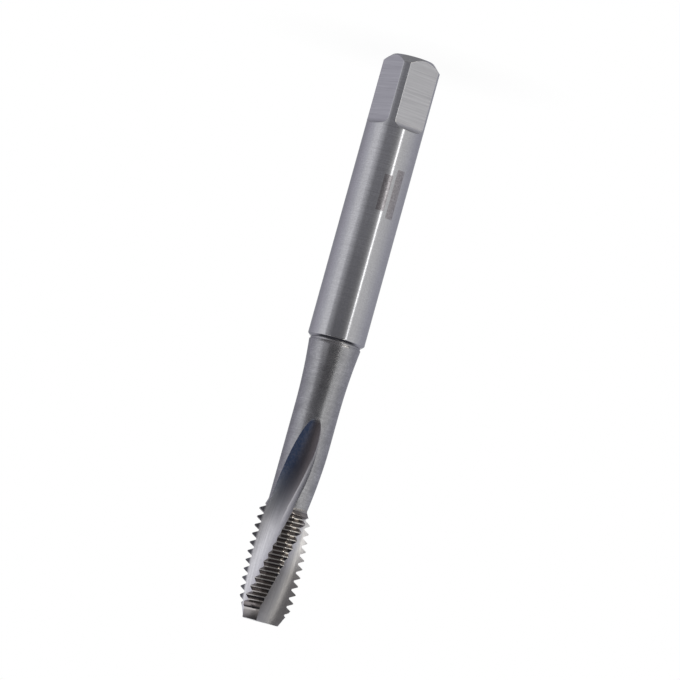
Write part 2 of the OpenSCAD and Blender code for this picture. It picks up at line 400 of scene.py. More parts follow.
SHANK, FLAT, NECK, FLUTE, THREAD, TIP_FACE = range(6)
FINISHES = [
    "ground_shank",
    "ground_flats",
    "turned_neck",
    "ground_flutes",
    "cut_thread",
    "ground_tip",
]
# Name of the faces' value that tells their place across the flutes
ACROSS = "across_flutes"

# How many rings the stretches have: end face, flats, the flats' run-out, shank, flare, the neck
# where the columns come together, and the flutes below the thread
FACE_ROWS = 8
FLAT_ROWS = 8
FLAT_RUNOUT_ROWS = 22
SHANK_ROWS = 44
FLARE_ROWS = 24
SPREAD_ROWS = 6
FLUTE_ROWS = 44
# The power by which the rings crowd together where the flutes begin
FLUTE_ROW_POWER = 1.8
# Shares of the end bevel's height, and of the tip face's width, at which they have rings
BEVEL_SHARES = (0.02, 0.06, 0.13, 0.22, 0.34, 0.5, 0.7, 0.95)
TIP_SHARES = (0.15, 0.35, 0.6, 0.85)
# Width of the even band round the centre hole in the end face
HOLE_BAND = 0.3
# The share of the flare's length at which its rings begin, and a step down the flare from its
# edge, for the direction in which the edge is eased
FLARE_START = 0.04
FLARE_STEP = (-0.03, 0.4)
# How much less than a land its columns cover at the tip's centre hole, on each side in degrees
TIP_INSET = 8
# How far before the thread's bevel the thread's finish begins
THREAD_MARGIN = 0.3


def neck_angles(z):
    """Azimuths of the columns on the round neck."""
    return unwrapped(azimuth(fluted_ring(plain_lands(z))))


def closest_shift(target):
    """By how many columns the square's rings roll to come closest to the neck's columns, and their
    azimuths when they do."""
    angles = quarter_angles(CLOSED_WIDTH)
    best = None
    for shift in range(COLS):
        moved = unwrapped(np.roll(angles, -shift))
        moved += 360 * round((target[0] - moved[0]) / 360)
        gap = np.abs(moved - target).max()
        if best is None or gap < best[0]:
            best = (gap, shift, moved)
    return best[1:]


def square_end(rings):
    """Centre hole, end face, bevel and driving square, up to where the flats have run out."""
    even = np.linspace(0, 360, COLS, endpoint=False) + quarter_angles(CLOSED_WIDTH)[0]
    for r, depth in eased(centre_hole(CENTRE_R) + [(FACE_R, 0)])[:-1]:
        rings.add(ring(even, r, depth), SHANK)
    closed = quarter_angles(CLOSED_WIDTH)
    for r in np.linspace(CENTRE_R + HOLE_BAND, FACE_R - SUPPORT, FACE_ROWS):
        share = smooth((r - CENTRE_R) / (FACE_R - CENTRE_R))
        rings.add(ring(blend(even, closed, share), r, 0), SHANK)
    rings.add(ring(closed, FACE_R - EASE, 0), SHANK)
    rings.add(ring(closed, FACE_R + EASE_STEP, EASE_STEP), SHANK)
    rings.add(square_ring(FLAT_X, FLAT_X, FLAT_Z), SHANK)
    for t in BEVEL_SHARES:
        z = blend(FLAT_Z, END_BEVEL, t)
        rings.add(square_ring(FACE_R + z, FLAT_X, z), SHANK)
    for z in (END_BEVEL + EASE, END_BEVEL + SUPPORT):
        rings.add(square_ring(SHANK_R, FLAT_X, z), SHANK)
    for z in np.linspace(END_BEVEL, SQUARE_LEN, FLAT_ROWS)[1:]:
        rings.add(square_ring(SHANK_R, FLAT_X, z), SHANK)
    last = acos(1 - (SHANK_R - FLAT_X) / SQUARE_RUNOUT_R)
    for t in np.linspace(0, 1, FLAT_RUNOUT_ROWS)[1:]:
        a = last * (1 - (1 - t) ** 2)
        x = FLAT_X + SQUARE_RUNOUT_R * (1 - cos(a))
        rings.add(square_ring(SHANK_R, x, SQUARE_LEN + SQUARE_RUNOUT_R * sin(a)), SHANK)
    return SQUARE_LEN + SQUARE_RUNOUT_R * sin(last)


def shank_and_neck(rings, start_z, start, target):
    """Round stretch from the square to the flutes. Its columns turn slowly from the square's
    azimuths to the neck's."""
    end_z = SHANK_LEN - SHOULDER_BEVEL - SUPPORT - EASE
    for i in range(1, SHANK_ROWS + 1):
        t = i / SHANK_ROWS
        rings.add(ring(blend(start, target, t), SHANK_R, blend(start_z, end_z, t)), SHANK)
    flare_z = SHANK_LEN + RELIEF_LEN
    drop = NECK_TOP_R - NECK_R
    flare_r = (FLARE_LEN**2 + drop**2) / (2 * drop)
    outline = [
        (SHANK_R, end_z),
        (SHANK_R, SHANK_LEN - SHOULDER_BEVEL),
        (SHANK_R - SHOULDER_BEVEL, SHANK_LEN),
        (RELIEF_R, SHANK_LEN),
        (RELIEF_R, flare_z),
        (NECK_TOP_R, flare_z),
        (NECK_TOP_R + FLARE_STEP[0], flare_z + FLARE_STEP[1]),
    ]
    for r, z in eased(outline)[1:-1]:
        rings.add(ring(target, r, z), SHANK if z < SHANK_LEN else NECK)
    for t in np.linspace(FLARE_START, 1, FLARE_ROWS)[:-1]:
        d = FLARE_LEN * (1 - t)
        r = NECK_R + flare_r - sqrt(flare_r**2 - d**2)
        z = flare_z + FLARE_LEN * t
        rings.add(ring(neck_angles(z), r, z), NECK)


def fluted_end(rings):
    """Straight neck, flutes, thread, lead and tip face, into the tip's centre hole."""
    low = SHANK_LEN + RELIEF_LEN + FLARE_LEN
    for z in np.linspace(low, RUNOUT_Z, SPREAD_ROWS)[:-1]:
        rings.add(fluted_ring(plain_lands(z)), NECK)
    thread_low = FIRST_Z - (LAND_STEP - RIDGE_LEN) / 2 - LAND_STEP * LAND_ANGLE / 360
    for t in np.linspace(0, 1, FLUTE_ROWS)[:-1]:
        z = blend(RUNOUT_Z, thread_low, t**FLUTE_ROW_POWER)
        rings.add(fluted_ring(plain_lands(z)), NECK, FLUTE)
    thread = [lands for j in range(TURNS) for lands in thread_turn(j)]
    for lands in thread:
        rings.add(fluted_ring(lands), THREAD, FLUTE)
    after_thread = thread[-1][..., 0] + SUPPORT
    rings.add(fluted_ring(plain_lands(after_thread)), THREAD, FLUTE)
    rings.add(fluted_ring(plain_lands(TOTAL_LEN - EASE)), THREAD, FLUTE)
    rim = fluted_ring(plain_lands(TOTAL_LEN))
    inward = rim * [1 - EASE / TIP_R, 1 - EASE / TIP_R, 1]
    rings.add(inward, TIP_FACE)
    land = np.linspace(-LAND_ANGLE + TIP_INSET, -TIP_INSET, LAND_COLS + 1)
    flute = np.linspace(-TIP_INSET, FLUTE_ANGLE + TIP_INSET, FLUTE_COLS + 1)[1:-1]
    inner = np.concatenate([np.concatenate([land, flute]) + SECTOR * k for k in range(FLUTES)])
    mouth = ring(inner + turn(TOTAL_LEN), TIP_CENTRE_R + EASE, TOTAL_LEN)
    for t in TIP_SHARES:
        rings.add(blend(inward, mouth, t), TIP_FACE)
    hole = eased(centre_hole(TIP_CENTRE_R) + [(TIP_CENTRE_R + 1, 0)])[:-1]
    for r, depth in reversed(hole):
        rings.add(ring(inner + turn(TOTAL_LEN), r, TOTAL_LEN - depth), TIP_FACE)


def all_rings():
    """Every ring of the body, how many of them belong to the square end, and which columns lie on
    its flats."""
    rings = Rings()
    target = neck_angles(RUNOUT_Z - SPREAD_LEN)
    shift, start = closest_shift(target)
    start_z = square_end(rings)
    square_rings = len(rings.points)
    rings.points = [np.roll(p, -shift, 0) for p in rings.points]
    shank_and_neck(rings, start_z, start, target)
    fluted_end(rings)
    on_flat = np.roll(np.arange(COLS) % QUARTER_COLS < FLAT_COLS, -shift)
    return rings, square_rings, on_flat


def faces(count):
    """The faces between this many rings. Those that close the two ends come last, each with one
    of the two points that follow the rings' points."""
    column = np.arange(COLS)
    after = (column + 1) % COLS
    base = np.arange(count - 1)[:, None] * COLS
    corners = [base + column, base + after, base + COLS + after, base + COLS + column]
    quads = np.stack(corners, -1).reshape(-1, 4)
    top = (count - 1) * COLS
    low_point, high_point = count * COLS, count * COLS + 1
    fans = [(low_point, int(b), int(a)) for a, b in zip(column, after)]
    fans += [(high_point, int(top + a), int(top + b)) for a, b in zip(column, after)]
    return quads.tolist() + fans


def face_finishes(rings, square_rings, on_flat):
    """The finish of each face, in the order of the faces."""
    in_flute = np.arange(COLS) % SECTOR_COLS >= LAND_COLS
    bands = rings.finish[:-1]
    finish = np.array([np.where(in_flute, flute, land) for land, flute in bands])
    height = np.array(rings.points)[..., 2]
    for row in range(square_rings - 1):
        if height[row, 0] >= FLAT_Z - TINY and height[row + 1, 0] > height[row, 0]:
            finish[row, on_flat] = FLAT
    finish[(finish == THREAD) & (height[:-1] < THREAD_START - THREAD_MARGIN)] = NECK
    closing = [SHANK] * COLS + [TIP_FACE] * COLS
    return np.concatenate([finish.ravel(), closing]).astype(np.int32)


def across_flutes():
    """For each column, its place across the flutes: flute k runs from k at its cutting side to
    k + 1 at its heel."""
    column = np.arange(COLS)
    in_columns = np.maximum(0, column % SECTOR_COLS - LAND_COLS + 0.5)
    return column // SECTOR_COLS + in_columns / FLUTE_COLS


def body_mesh():
    """The whole tap as one closed mesh with a finish for each face."""
    rings, square_rings, on_flat = all_rings()
    count = len(rings.points)
    points = np.concatenate(rings.points)
    ends = [(0, 0, points[0, 2]), (0, 0, points[-1, 2])]
    vertices = np.concatenate([points, ends]) * MM
    mesh = bpy.data.meshes.new("tap_body")
    mesh.from_pydata(vertices.tolist(), [], faces(count))
    finish = face_finishes(rings, square_rings, on_flat)
    mesh.polygons.foreach_set("material_index", finish)
    mesh.polygons.foreach_set("use_smooth", np.ones(len(mesh.polygons), bool))
    mark_sharp(mesh, rings, square_rings - 1)
    attribute = mesh.attributes.new(ACROSS, "FLOAT", "FACE")
    across = np.tile(across_flutes(), count + 1).astype(np.float32)
    attribute.data.foreach_set("value", across)
    mesh.update()
    return mesh


def mark_sharp(mesh, rings, runout_row):
    """Marks the cutting edges and heel edges of the open flutes, and the ring at which the flats
    run out."""
    start = runout_row * COLS
    sharp = {(start + c, start + c + 1) for c in range(COLS - 1)}
    sharp.add((start, start + COLS - 1))
    for row in range(len(rings.points) - 1):
        if rings.finish[row][1] == FLUTE:
            for k in range(FLUTES):
                for c in (k * SECTOR_COLS, k * SECTOR_COLS + LAND_COLS):
                    sharp.add((row * COLS + c, (row + 1) * COLS + c))
    keys = np.array([e.vertices[:] for e in mesh.edges])
    flags = np.array([(min(a, b), max(a, b)) in sharp for a, b in keys])
    attribute = mesh.attributes.new("sharp_edge", "BOOLEAN", "EDGE")
    attribute.data.foreach_set("value", flags)


# Nodes

class Tree:
    """Short forms for building a node tree."""

    def __init__(self, tree):
        self.tree = tree
        tree.nodes.clear()

    def node(self, kind, **settings):
        n = self.tree.nodes.new(kind)
        for name, value in settings.items():
            setattr(n, name, value)
        return n

    def link(self, value, socket):
        """Links an output to a socket, or sets the socket's own value."""
        if isinstance(value, bpy.types.NodeSocket):
            self.tree.links.new(value, socket)
        else:
            socket.default_value = value

    def math(self, operation, a, b=0.0):
        n = self.node("ShaderNodeMath", operation=operation)
        self.link(a, n.inputs[0])
        self.link(b, n.inputs[1])
        return n.outputs[0]

    def span(self, value, low, high, out_low=0.0, out_high=1.0):
        """value mapped from low..high to out_low..out_high, and held there outside."""
        n = self.node("ShaderNodeMapRange", clamp=True)
        self.link(value, n.inputs["Value"])
        ends = {"From Min": low, "From Max": high, "To Min": out_low, "To Max": out_high}
        for name, number in ends.items():
            self.link(number, n.inputs[name])
        return n.outputs["Result"]

    def window(self, value, low, high, fade):
        """1 between low and high, and 0 outside them, with edges that fade over this width."""
        rise = self.span(value, low - fade / 2, low + fade / 2)
        fall = self.span(value, high - fade / 2, high + fade / 2, 1.0, 0.0)
        return self.math("MULTIPLY", rise, fall)

    def mix(self, factor, a, b):
        n = self.node("ShaderNodeMix", data_type="RGBA")
        self.link(factor, n.inputs["Factor"])
        self.link(a, n.inputs["A"])
        self.link(b, n.inputs["B"])
        return n.outputs["Result"]

    def veil(self, base, over, value, low, high, share=1.0):
        """base with over laid on it: none of it where value is low, and this share where high."""
        return self.mix(self.span(value, low, high, 0, share), base, over)

    def ramp(self, factor, stops):
        """stops is [(position, colour)]."""
        n = self.node("ShaderNodeValToRGB")
        elements = n.color_ramp.elements
        while len(elements) < len(stops):
            elements.new(1)
        for element, (position, colour) in zip(elements, stops):
            element.position = position
            element.color = (*colour, 1)
        self.link(factor, n.inputs["Fac"])
        return n.outputs["Color"]

    def place_mm(self):
        """The surface point in millimetres."""
        place = self.node("ShaderNodeTexCoord").outputs["Object"]
        return self.scaled(place, (1 / MM,) * 3)

    def parts(self, vector):
        """x, y and z of a vector."""
        apart = self.node("ShaderNodeSeparateXYZ")
        self.link(vector, apart.inputs[0])
        return apart.outputs

    def height(self, place):
        return self.parts(place)[2]

    def radius(self, place):
        """Distance from the tap's axis."""
        n = self.node("ShaderNodeVectorMath", operation="LENGTH")
        self.link(self.scaled(place, (1.0, 1.0, 0.0)), n.inputs[0])
        return n.outputs["Value"]

    def scaled(self, vector, scale):
        n = self.node("ShaderNodeVectorMath", operation="MULTIPLY")
        self.link(vector, n.inputs[0])
        self.link(scale, n.inputs[1])
        return n.outputs["Vector"]

    def noise(self, vector, scale=1.0, detail=2.0, rough=0.5):
        n = self.node("ShaderNodeTexNoise")
        self.link(vector, n.inputs["Vector"])
        self.link(scale, n.inputs["Scale"])
        self.link(detail, n.inputs["Detail"])
        self.link(rough, n.inputs["Roughness"])
        return n.outputs["Fac"]

    def streaks(self, vector, scales, detail, rough=0.5):
        """Noise with a scale of its own along each axis."""
        return self.noise(self.scaled(vector, scales), 1.0, detail, rough)

    def bump(self, height, distance, strength):
        n = self.node("ShaderNodeBump")
        self.link(strength, n.inputs["Strength"])
        self.link(distance, n.inputs["Distance"])
        self.link(height, n.inputs["Height"])
        return n.outputs["Normal"]


def new_material(name):
    material = bpy.data.materials.new(name)
    material.use_nodes = True
    return material, Tree(material.node_tree)


def steel(tree, colour, roughness, normal=None):
    """Bare metal as the material's surface."""
    shader = tree.node("ShaderNodeBsdfPrincipled")
    tree.link(colour, shader.inputs["Base Color"])
    tree.link(roughness, shader.inputs["Roughness"])
    tree.link(1.0, shader.inputs["Metallic"])
    if normal is not None:
        tree.link(normal, shader.inputs["Normal"])
    out = tree.node("ShaderNodeOutputMaterial")
    tree.link(shader.outputs["BSDF"], out.inputs["Surface"])


def grey(value):
    """The grey of bare steel, a touch blue."""
    return value, value, value + 0.005, 1


# Two plain etched bars on the shank: their azimuth, and their lowest and highest point
BARS = [(-93.8, 19.6, 28.2), (-69.8, 20.9, 27.2)]
BAR_WIDTH = 1.5
BAR_FADE = 0.12
ETCHED = (0.25, 0.235, 0.24, 1)
ETCHED_PALE = (0.38, 0.365, 0.37, 1)
# How much rougher the bars are than the shank
BAR_ROUGHNESS = 0.07


def bars(tree, place):
    """1 on the etched bars and 0 beside them."""
    x, y, z = tree.parts(place)
    angle = tree.math("ARCTAN2", y, x)
    total = 0.0
    for middle, low, high in BARS:
        across = tree.math("MULTIPLY", tree.math("SUBTRACT", angle, radians(middle)), SHANK_R)
        on_width = tree.window(across, -BAR_WIDTH / 2, BAR_WIDTH / 2, BAR_FADE)
        on_bar = tree.math("MULTIPLY", on_width, tree.window(z, low, high, BAR_FADE))
        total = tree.math("MAXIMUM", total, on_bar)
    return total


def shank_finish():
    """Cylindrically ground steel: fine lines round the shank, and the plain etched bars."""
    material, tree = new_material(FINISHES[SHANK])
    place = tree.place_mm()
    lines = tree.streaks(place, (0.15, 0.15, 9.0), 3.0, 0.6)
    cloud = tree.noise(place, 0.35, 3.0)
    grain = tree.noise(place, 3.0, 3.0, 0.6)
    bare = tree.mix(cloud, grey(0.48), grey(0.57))
    bare = tree.veil(bare, grey(0.38), lines, 0.3, 0.7, 0.4)
    bare = tree.veil(bare, grey(0.40), grain, 0.35, 0.65, 0.5)
    on_bar = bars(tree, place)
    colour = tree.mix(on_bar, bare, tree.veil(ETCHED, ETCHED_PALE, grain, 0.35, 0.65))
    roughness = tree.span(lines, 0.3, 0.7, 0.12, 0.19)
    roughness = tree.math("ADD", roughness, tree.math("MULTIPLY", on_bar, BAR_ROUGHNESS))
    steel(tree, colour, roughness, tree.bump(lines, 0.002 * MM, 0.5))
    return material


def flat_finish():
    """Surface ground flats with lines across them."""
    material, tree = new_material(FINISHES[FLAT])
    place = tree.place_mm()
    fine = tree.streaks(place, (0.12, 0.12, 5.5), 4.0, 0.65)
    broad = tree.streaks(place, (0.05, 0.05, 1.5), 3.0, 0.6)
    colour = tree.veil(grey(0.45), grey(0.58), fine, 0.32, 0.68)
    colour = tree.veil(colour, grey(0.43), broad, 0.54, 0.68, 0.4)
    steel(tree, colour, tree.span(fine, 0.3, 0.7, 0.28, 0.4), tree.bump(fine, 0.012 * MM, 0.6))
    return material


NECK_GREY = grey(0.365)


def neck_finish():
    """Turned neck, duller than the shank, with fine lines round it."""
    material, tree = new_material(FINISHES[NECK])
    place = tree.place_mm()
    lines = tree.streaks(place, (0.2, 0.2, 7.0), 4.0, 0.65)
    cloud = tree.noise(place, 0.5, 3.0)
    grain = tree.noise(place, 2.5, 3.0, 0.6)
    colour = tree.veil(NECK_GREY, grey(0.48), cloud, 0.35, 0.65)
    colour = tree.veil(colour, grey(0.27), lines, 0.35, 0.7, 0.65)
    colour = tree.veil(colour, grey(0.25), grain, 0.38, 0.62, 0.45)
    steel(tree, colour, tree.span(lines, 0.3, 0.7, 0.25, 0.31), tree.bump(lines, 0.008 * MM, 0.6))
    return material


def along_flute(tree, place):
    """A point turned back along the helix, so that what is the same along a flute stays so."""
    n = tree.node("ShaderNodeVectorRotate", rotation_type="Z_AXIS")
    tree.link(place, n.inputs["Vector"])
    tree.link(tree.math("MULTIPLY", tree.height(place), radians(-TWIST)), n.inputs["Angle"])
    return n.outputs["Vector"]


# The front flute's run-out has a dark film, blue on its heel side and brown on its cutting side.
# It comes in over the first heights, and fades away over others, which differ at the two sides.
FILM_START = (63.9, 65.0)
CUTTING_FADE = (69.5, 86.0)
HEEL_FADE = (72.3, 83.3)
# Below the cutting edge the film leaves a bare strip that grows wider over these heights, with a
# painted highlight line along its inner side
BARE_START = (67.5, 82.0)
BARE_WIDTH = 0.36
CREASE_HIGHLIGHT_WIDTH = 0.06
CREASE_HIGHLIGHT_HEIGHTS = (72.5, 83.5)
# How much of the film the strip keeps, and how wide the strip's and the painted highlight's edges
# fade
BARE_FILM = 0.45
BARE_FADE = 0.03
CREASE_HIGHLIGHT_FADE = 0.02
CREASE_HIGHLIGHT_HEIGHT_FADE = 4
FILM_BROWN = (0.128, 0.116, 0.122, 1)
FILM_BLUE = (0.036, 0.053, 0.1, 1)
FILM_STAIN = (0.17, 0.16, 0.17, 1)
# Shares of the flute's width, from its cutting side, between which the brown turns blue, and over
# which the film's end climbs from one side's heights to the other's
FILM_TURN = (0.3, 0.75)
FILM_SLANT = (0.2, 0.8)
# The heel side of the front flute's teeth carries painted shade between these radii and shares of
# the width
TOOTH_RADII = (3.95, 4.35)
TOOTH_ACROSS = (0.7, 0.75)
TOOTH_SHARE = 0.9
TOOTH_SHADE = (0.07, 0.07, 0.085, 1)
# Heights between which the other two flutes grow duller towards the tip
DULL_HEIGHTS = (85.5, 91.0)
DULL_GREY = (0.30, 0.29, 0.28, 1)
# Colour of the painted highlight line along the bare strip
CREASE_HIGHLIGHT_GREY = (0.62, 0.61, 0.61, 1)
GRINDING_GREY = (0.3, 0.3, 0.31, 1)


def flute_finish():
    """Bright flutes with fine grinding lines along the helix, and a dark film in one run-out."""
    material, tree = new_material(FINISHES[FLUTE])
    place = tree.place_mm()
    height = tree.height(place)
    straight = along_flute(tree, place)
    number = tree.node("ShaderNodeAttribute", attribute_name=ACROSS).outputs["Fac"]
    across = tree.math("FRACT", number)
    in_front = tree.math("LESS_THAN", number, 1)
    lines = tree.streaks(straight, (5.0, 5.0, 0.12), 3.0, 0.6)
    cloud = tree.streaks(straight, (0.6, 0.6, 0.2), 3.0)
    mottle = tree.noise(place, 3.0, 3.0, 0.65)

    bright = tree.mix(cloud, grey(0.68), (0.76, 0.755, 0.76, 1))
    # Painted reflection: every flute is painted brighter towards its heel side
    bright = tree.veil(bright, grey(0.9), across, 0.5, 0.8, 0.7)
    dull = tree.veil(bright, DULL_GREY, height, *DULL_HEIGHTS, 0.8)
    bright = tree.mix(in_front, dull, bright)
    bright = tree.veil(bright, GRINDING_GREY, lines, 0.35, 0.7, 0.3)
    bright = tree.veil(bright, GRINDING_GREY, mottle, 0.4, 0.7, 0.18)

    film = tree.veil(FILM_BROWN, FILM_BLUE, across, *FILM_TURN)
    film = tree.veil(film, FILM_STAIN, mottle, 0.45, 0.7, 0.3)
    film = tree.veil(NECK_GREY, film, height, *FILM_START)
    fades = [tree.span(across, *FILM_SLANT, a, b) for a, b in zip(CUTTING_FADE, HEEL_FADE)]
    faded = tree.math("POWER", tree.span(height, *fades), 2)
    on_film = tree.math("MULTIPLY", in_front, tree.math("SUBTRACT", 1, faded))
    strip = tree.span(height, *BARE_START, 0, BARE_WIDTH)
    inside = tree.math("SUBTRACT", across, strip)
    on_film = tree.math("MULTIPLY", on_film, tree.span(inside, 0, BARE_FADE, BARE_FILM, 1))
    colour = tree.mix(on_film, bright, film)

    # Painted shade on the heel side of the front flute's teeth
    tooth_shade = tree.math("MULTIPLY", tree.span(tree.radius(place), *TOOTH_RADII), in_front)
    tooth_shade = tree.math("MULTIPLY", tooth_shade, tree.span(across, *TOOTH_ACROSS, 0, TOOTH_SHARE))
    colour = tree.mix(tooth_shade, colour, TOOTH_SHADE)
    # Painted highlight: a pale line along the bare strip's inner side, between the given heights
    crease_highlight = tree.window(inside, 0, CREASE_HIGHLIGHT_WIDTH, CREASE_HIGHLIGHT_FADE)
    at_height = tree.window(height, *CREASE_HIGHLIGHT_HEIGHTS, CREASE_HIGHLIGHT_HEIGHT_FADE)
    crease_highlight = tree.math("MULTIPLY", crease_highlight, at_height)
    colour = tree.mix(tree.math("MULTIPLY", crease_highlight, in_front), colour, CREASE_HIGHLIGHT_GREY)
    steel(tree, colour, tree.span(lines, 0.3, 0.7, 0.4, 0.5), tree.bump(lines, 0.004 * MM, 0.5))
    return material


# The film's colours are partly oil and oxide and partly painted shade on the flanks
THREAD_BROWN = (0.23, 0.215, 0.21, 1)
THREAD_PALE = (0.31, 0.28, 0.265, 1)
THREAD_OIL_AND_SHADE = (0.13, 0.115, 0.105, 1)
CREST_WEAR_AND_ROOT_HIGHLIGHT_GREY = (0.51, 0.49, 0.46, 1)
LEAD_GREY = (0.34, 0.325, 0.31, 1)
# Radii over which the rubbed steel begins on the crests and the painted highlight ends on the
# roots, and over which the dull lead ends
CREST_WEAR = (CREST_R - 0.12, CREST_R - 0.03)
ROOT_HIGHLIGHT = (ROOT_R + 0.02, ROOT_R + 0.12)
LEAD_END = (ROOT_R - 0.12, ROOT_R - 0.04)
# Roughness of the film, of the rubbed crests and highlighted roots, and of the lead
FILM_ROUGHNESS = 0.18
WORN_ROUGHNESS = 0.1
LEAD_ROUGHNESS = 0.36


def thread_finish():
    """Ground thread with a dark film, partly oil and oxide and partly painted shade on the flanks,
    rubbed off the crests, a painted highlight on the roots, and a dull lead where the cone cuts
    below the roots."""
    material, tree = new_material(FINISHES[THREAD])
    place = tree.place_mm()
    cloud = tree.noise(place, 0.9, 3.0)
    grain = tree.noise(place, 7.0, 3.0)
    radius = tree.radius(place)
    crest = tree.span(radius, *CREST_WEAR)
    root = tree.span(radius, *ROOT_HIGHLIGHT, 1.0, 0.0)
    crest_wear_and_root_highlight = tree.math("MAXIMUM", crest, root)
    lead = tree.span(radius, *LEAD_END, 1.0, 0.0)
    # The film's dark colours are partly oil and oxide and partly painted shade on the flanks
    colour = tree.mix(cloud, THREAD_BROWN, THREAD_PALE)
    colour = tree.veil(colour, THREAD_OIL_AND_SHADE, grain, 0.4, 0.75, 0.5)
    # Rubbed steel on the crests, and a painted highlight on the roots
    colour = tree.mix(crest_wear_and_root_highlight, colour, CREST_WEAR_AND_ROOT_HIGHLIGHT_GREY)
    colour = tree.mix(lead, colour, LEAD_GREY)
    roughness = tree.span(crest_wear_and_root_highlight, 0, 1, FILM_ROUGHNESS, WORN_ROUGHNESS)
    roughness = tree.math("MAXIMUM", roughness, tree.math("MULTIPLY", lead, LEAD_ROUGHNESS))
    steel(tree, colour, roughness)
    return material


def tip_finish():
    """Ground tip face with faint turning rings."""
    material, tree = new_material(FINISHES[TIP_FACE])
    place = tree.place_mm()
    rings = tree.streaks(tree.radius(place), (6.0, 6.0, 6.0), 3.0)
    colour = tree.mix(rings, (0.42, 0.42, 0.44, 1), (0.6, 0.6, 0.62, 1))
    steel(tree, colour, 0.3, tree.bump(rings, 0.006 * MM, 0.5))
    return material


def make_tap():
    """The tap's one piece, in its finishes."""
    mesh = body_mesh()
    tap = bpy.data.objects.new("tap_body", mesh)
    bpy.context.scene.collection.objects.link(tap)
    for make in (shank_finish, flat_finish, neck_finish, flute_finish, thread_finish, tip_finish):
        mesh.materials.append(make())
    weighted = tap.modifiers.new("even_shading", "WEIGHTED_NORMAL")
    weighted.keep_sharp = True
    weighted.weight = 50
    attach(tap, "root")
    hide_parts(NODE)


# Studio

# The photograph's camera: its azimuth from +X, how far from the axis and how high it stands, the
# point that the middle of the picture shows, and the lean of the tap in the picture
CAMERA_AZIMUTH = -55.8
CAMERA_DISTANCE = 0.83
CAMERA_HEIGHT = 0.117
AIM_HEIGHT = 0.04999
AIM_RIGHT = 0.00064
LEAN = 15.5
LENS = 257.8
SENSOR = 36.0


def make_camera():
    """The photograph has the square end up, so the camera is upside down."""
    out = Vector((cos(radians(CAMERA_AZIMUTH)), sin(radians(CAMERA_AZIMUTH)), 0))
    place = out * CAMERA_DISTANCE + Vector((0, 0, CAMERA_HEIGHT))
    side = Vector((0, 0, -1)).cross(out)
    aim = Vector((0, 0, AIM_HEIGHT)) + side * AIM_RIGHT
    back = (place - aim).normalized()
    axis_right = Vector((0, 0, -1)).cross(back).normalized()
    axis_up = back.cross(axis_right)
    lean = radians(LEAN)
    up = axis_up * cos(lean) - axis_right * sin(lean)
    right = axis_up * sin(lean) + axis_right * cos(lean)
    camera = bpy.data.cameras.new("camera")
    camera.sensor_width = SENSOR
    camera.lens = LENS
    camera.clip_start = 0.01
    holder = bpy.data.objects.new("camera", camera)
    turn_matrix = Matrix((right, up, back)).transposed().to_4x4()
    holder.matrix_world = Matrix.Translation(place) @ turn_matrix
    bpy.context.scene.collection.objects.link(holder)
    bpy.context.scene.camera = holder


# What the steel mirrors: upright bands all round, by the angle from the camera towards the
# picture's right
STUDIO_BANDS = [
    (-180, (0.33, 0.33, 0.37)),
    (-150, (0.36, 0.36, 0.41)),
    (-128, (0.46, 0.45, 0.52)),
    (-110, (0.56, 0.55, 0.63)),
    (-86, (0.71, 0.71, 0.78)),
    (-72, (0.91, 0.91, 0.96)),
    (-55, (0.95, 0.95, 1.0)),
    (-42, (0.74, 0.74, 0.79)),
    (-25, (0.32, 0.32, 0.35)),
    (0, (0.31, 0.31, 0.34)),
    (13, (0.34, 0.34, 0.36)),
    (20, (0.42, 0.42, 0.44)),
    (25, (0.56, 0.56, 0.57)),
    (30, (0.84, 0.84, 0.85)),
    (42, (0.82, 0.82, 0.83)),
    (60, (0.75, 0.75, 0.77)),
    (84, (0.68, 0.68, 0.72)),
    (110, (0.55, 0.55, 0.62)),
    (150, (0.42, 0.42, 0.48)),
    (180, (0.33, 0.33, 0.37)),
]
# Angles and elevations that lie past the ends, for panels that go all round, or right up or down
ALL_ROUND = (-400, 400)
UP = 100
DOWN = -100
# Panels in front of the bands, where a later one covers the others: their angles from and to,
# their elevations from and to, how wide their edges fade, and their colour
STUDIO_PANELS = [
    (-49, 34, -4.4, UP, 2, (0.055, 0.053, 0.06)),
    (50, 74, -3.5, 16, 6, (0.92, 0.91, 0.93)),
    (-75, 72, DOWN, -14, 8, (0.26, 0.25, 0.26)),
    (*ALL_ROUND, DOWN, -56, 12, (0.36, 0.36, 0.38)),
    (-35, 32, 13, 62, 14, (0.38, 0.37, 0.38)),
    (-105, -25, 7, 30, 8, (0.95, 0.94, 0.99)),
    (41, 61, -36, -17.5, 4, (2.9, 2.8, 2.6)),
    (29, 33.5, -62, -42, 1.5, (6.0, 5.8, 5.5)),
    (29, 33.5, 16, 29, 1.5, (7.0, 6.8, 6.4)),
    (*ALL_ROUND, 46, UP, 16, (0.045, 0.045, 0.055)),
]
# The white background stands behind the tap, this far to either side of the camera's axis and
# this far above and below the level
BACKDROP_HALF = 12
BACKDROP_LEVEL = 35


